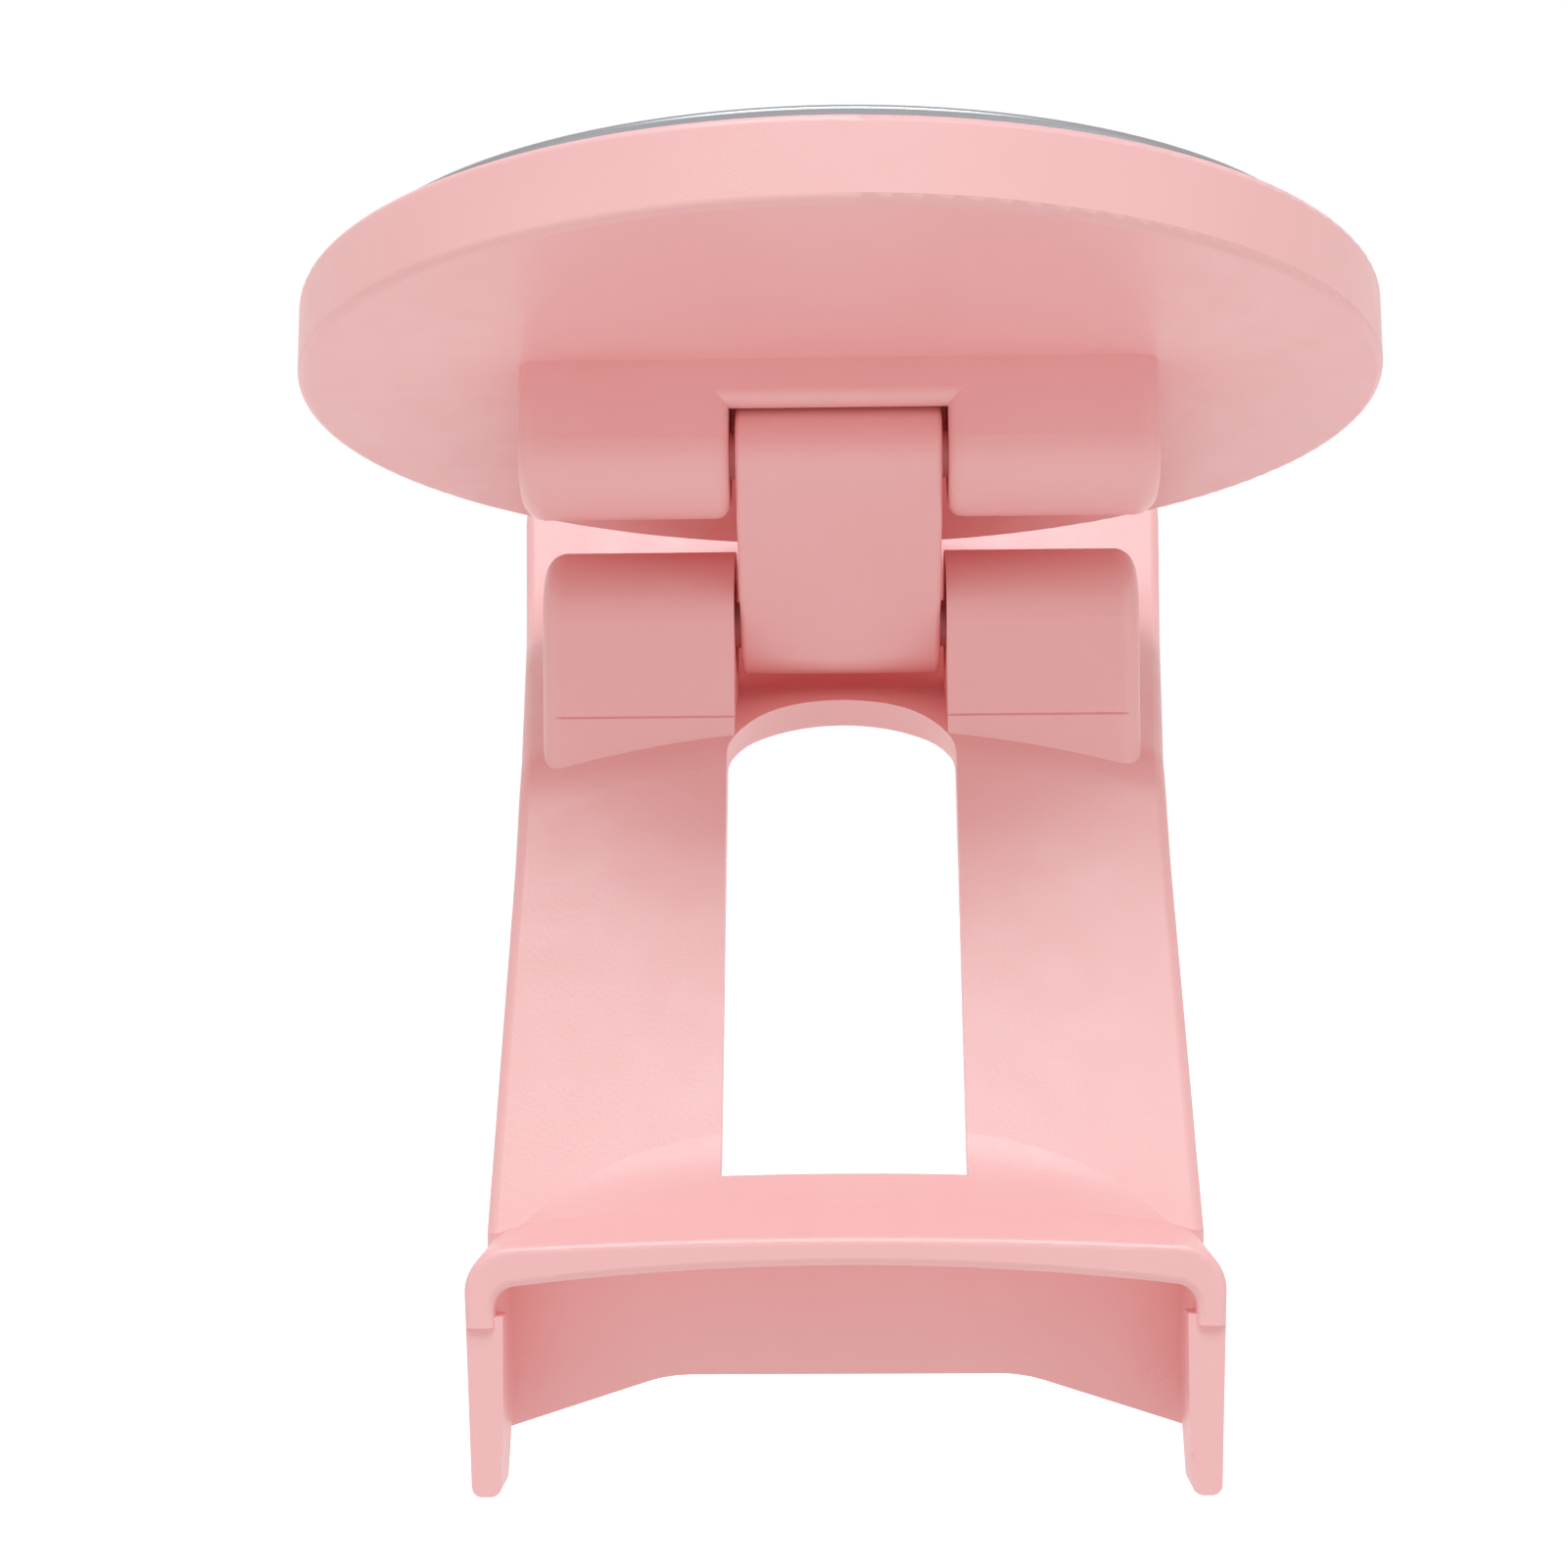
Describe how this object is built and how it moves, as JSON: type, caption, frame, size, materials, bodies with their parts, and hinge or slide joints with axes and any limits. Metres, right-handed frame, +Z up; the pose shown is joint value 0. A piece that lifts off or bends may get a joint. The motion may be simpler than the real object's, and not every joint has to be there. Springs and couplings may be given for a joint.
{
  "type": "water bottle phone holder",
  "caption": "Pink moulded clip that snaps onto a bottle's carry loop and holds a round magnetic phone pad on a short double-hinged link.",
  "frame": {"origin": "middle of the clip's mouth, on the underside of its roof at the front edge", "axes": "+X across the clip, +Y from the mouth towards the tail, +Z up along the bottle"},
  "size_m": [0.058, 0.0679, 0.0646],
  "materials": {
    "moulded_plastic": "satin",
    "face_metal": "brushed",
    "back_iron": "satin",
    "magnet_plating": "polished"
  },
  "bodies": {
    "clip": {"clip_body": "moulded_plastic", "lower_hinge_pin": "moulded_plastic"},
    "link": {"hinge_link": "moulded_plastic"},
    "pad": {"pad_shell": "moulded_plastic", "upper_hinge_pin": "moulded_plastic", "face_plate": "face_metal", "back_iron": "back_iron", "magnet_01": "magnet_plating", "magnet_02": "magnet_plating", "magnet_03": "magnet_plating", "magnet_04": "magnet_plating", "magnet_05": "magnet_plating", "magnet_06": "magnet_plating", "magnet_07": "magnet_plating", "magnet_08": "magnet_plating", "magnet_09": "magnet_plating", "magnet_10": "magnet_plating", "magnet_11": "magnet_plating", "magnet_12": "magnet_plating", "magnet_13": "magnet_plating", "magnet_14": "magnet_plating", "magnet_15": "magnet_plating", "magnet_16": "magnet_plating"}
  },
  "joints": [
    {"name": "lower_hinge", "type": "hinge", "parent": "clip", "child": "link", "pos_m": [0, 0.02277, 0.0316], "axis": [1, 0, 0], "range_deg": [-1, 44]},
    {"name": "upper_hinge", "type": "hinge", "parent": "link", "child": "pad", "pos_m": [0, 0.01616, 0.04015], "axis": [1, 0, 0], "range_deg": [-1, 58]}
  ]
}
